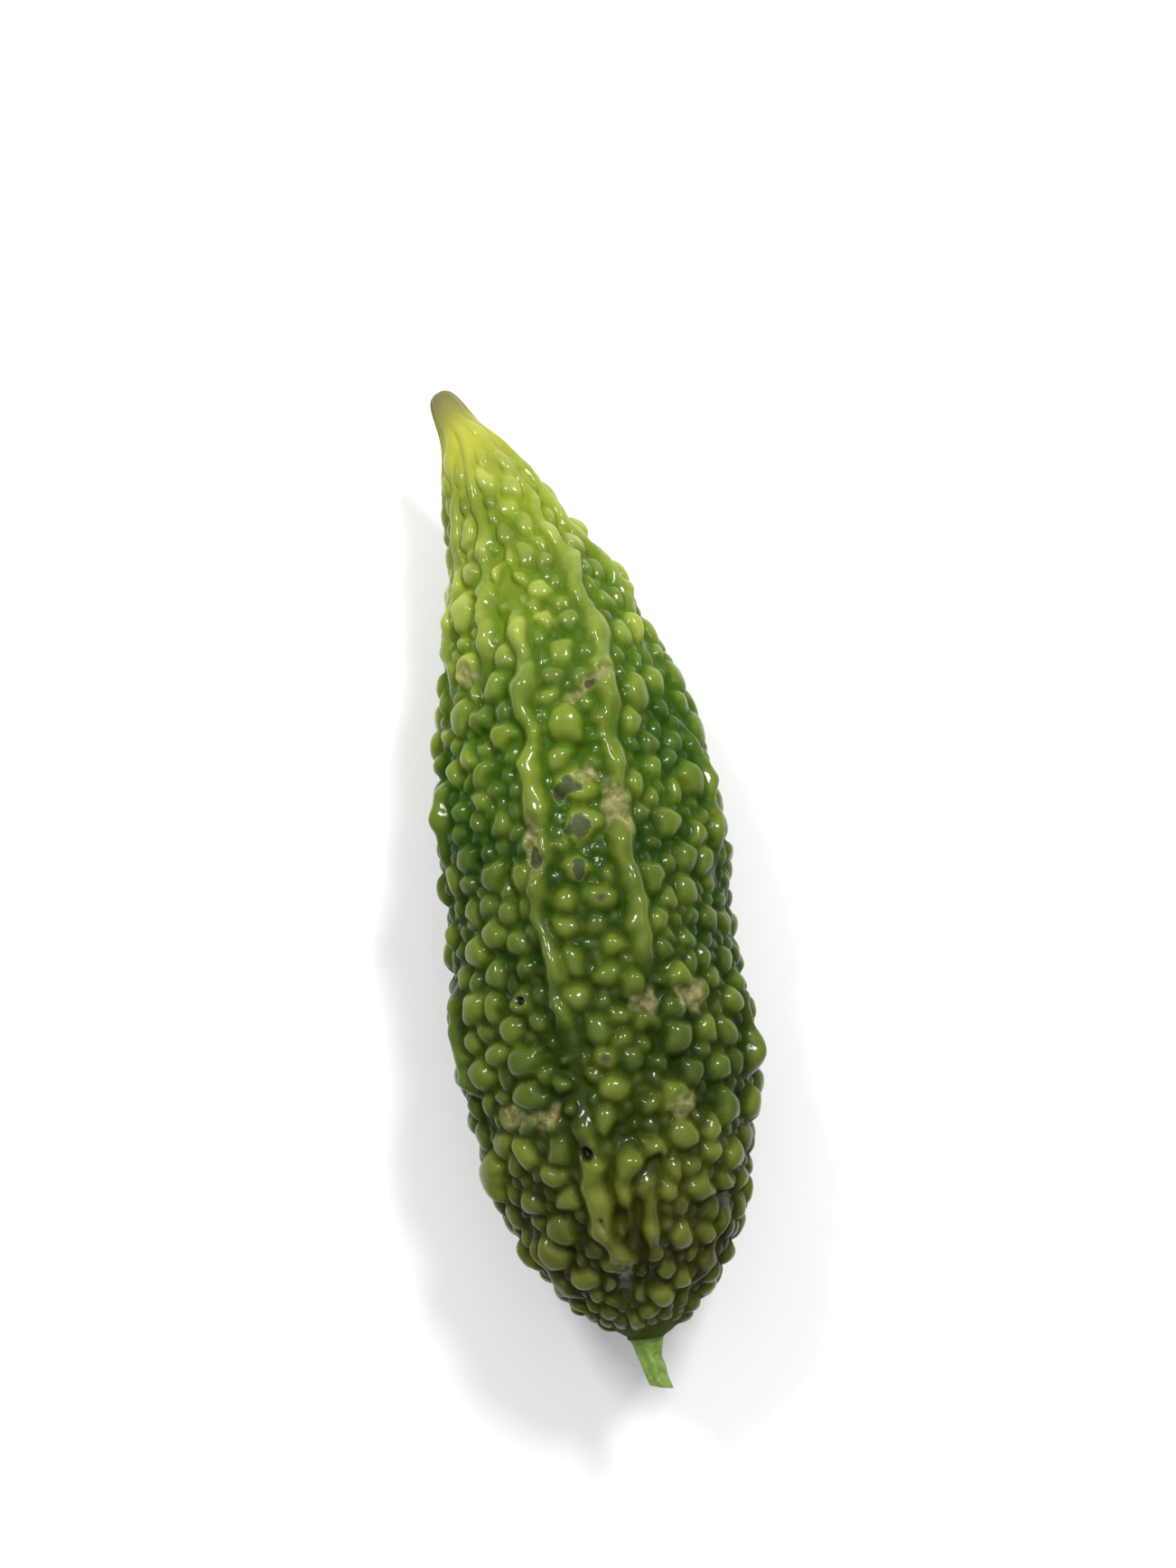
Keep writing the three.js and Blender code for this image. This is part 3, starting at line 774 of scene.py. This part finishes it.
def stalk_material():
    """Green, fibrous rind with pale pith on the cut."""
    recipe = Recipe("gourd_stalk")
    fibre = recipe.noise(1.2, 4)
    green = recipe.ramp(fibre, ((0.3, (0.10, 0.17, 0.02)), (0.7, (0.17, 0.26, 0.035))))
    pith = recipe.ramp(fibre, ((0.3, (0.45, 0.42, 0.20)), (0.7, (0.62, 0.60, 0.33))))
    colour = recipe.mix(recipe.painted("cut"), green, pith)
    bumps = recipe.add("Bump", {"Strength": 0.4, "Distance": 0.0003, "Height": fibre})
    recipe.feed(recipe.shader, {
        "Base Color": colour, "Roughness": recipe.vary(fibre, 0.45, 0.65),
        "Normal": bumps.outputs["Normal"], "Subsurface Weight": 0.1, "Subsurface Scale": 0.001,
    })
    return recipe.material


def floor_material():
    recipe = Recipe("pale_floor")
    tint = recipe.ramp(recipe.noise(120, 2), ((0.3, (0.83, 0.83, 0.82)), (0.7, (0.87, 0.87, 0.86))))
    recipe.feed(recipe.shader, {"Base Color": tint, "Roughness": 0.8})
    return recipe.material


# ---------------------------------------------------------------- floor, light and camera

FLOOR_SIZE = 6.0
SKY_POWER = 0.78
SKY_SPREAD = math.radians(80)
SKY_TURN = math.radians(-12)
WORLD_COLOUR = (0.95, 0.97, 1.0, 1)
WORLD_STRENGTH = 0.42

# Softboxes: place and size in metres, and power in watts.
SOFTBOXES = {
    "key": ((0.28, 0.36, 0.66), 0.16, 4.9),
    "key_two": ((-0.26, 0.40, 0.64), 0.14, 3.3),
}


def make_floor():
    bpy.ops.mesh.primitive_plane_add(size=FLOOR_SIZE)
    floor = bpy.context.object
    floor.name = "floor"
    floor.data.materials.append(floor_material())


def add_lamp(name, light, place, turn):
    lamp = bpy.data.objects.new(name, light)
    lamp.location = place
    lamp.rotation_euler = turn
    bpy.context.scene.collection.objects.link(lamp)


def make_light(aim):
    """Two softboxes for the glints, a broad sun for soft shade, and a pale world all round."""
    for name, (place, size, power) in SOFTBOXES.items():
        softbox = bpy.data.lights.new(name, "AREA")
        softbox.size = size
        softbox.energy = power
        turn = (aim - Vector(place)).to_track_quat("-Z", "Y").to_euler()
        add_lamp(name, softbox, place, turn)
    sky = bpy.data.lights.new("sky", "SUN")
    sky.energy = SKY_POWER
    sky.angle = SKY_SPREAD
    add_lamp("sky", sky, (0, 0, 0), (SKY_TURN, 0, 0))
    world = bpy.data.worlds.new("studio")
    world.use_nodes = True
    background = world.node_tree.nodes["Background"]
    background.inputs["Color"].default_value = WORLD_COLOUR
    background.inputs["Strength"].default_value = WORLD_STRENGTH
    bpy.context.scene.world = world


def make_camera(aim):
    """Looks down on the gourd from the stalk's side, turned so that the fruit leans left."""
    camera = bpy.data.cameras.new("camera")
    camera.sensor_fit = "VERTICAL"
    camera.sensor_height = CAMERA_SENSOR
    camera.lens = CAMERA_LENS
    level_up = Vector((math.sin(CAMERA_TURN), math.cos(CAMERA_TURN), 0))
    right = Vector((math.cos(CAMERA_TURN), -math.sin(CAMERA_TURN), 0))
    drop = Vector((0, 0, -1))
    back = -(math.cos(CAMERA_HEIGHT) * level_up + math.sin(CAMERA_HEIGHT) * drop)
    up = back.cross(right)
    centre = aim + right * CAMERA_AIM_RIGHT * MM + up * CAMERA_AIM_UP * MM
    turn = Matrix((right, up, back)).transposed().to_4x4()
    body = bpy.data.objects.new("camera", camera)
    body.matrix_world = Matrix.Translation(centre + back * CAMERA_DISTANCE * MM) @ turn
    bpy.context.scene.collection.objects.link(body)
    bpy.context.scene.camera = body


def main():
    fruit = make_fruit()
    fruit.data.materials.append(skin_material())
    stalk = make_stalk()
    stalk.data.materials.append(stalk_material())
    aim = (FRUIT_LOW + FRUIT_HIGH) / 2 * MM
    make_floor()
    make_light(aim)
    make_camera(aim)
    bpy.context.scene.view_settings.view_transform = "Standard"


main()
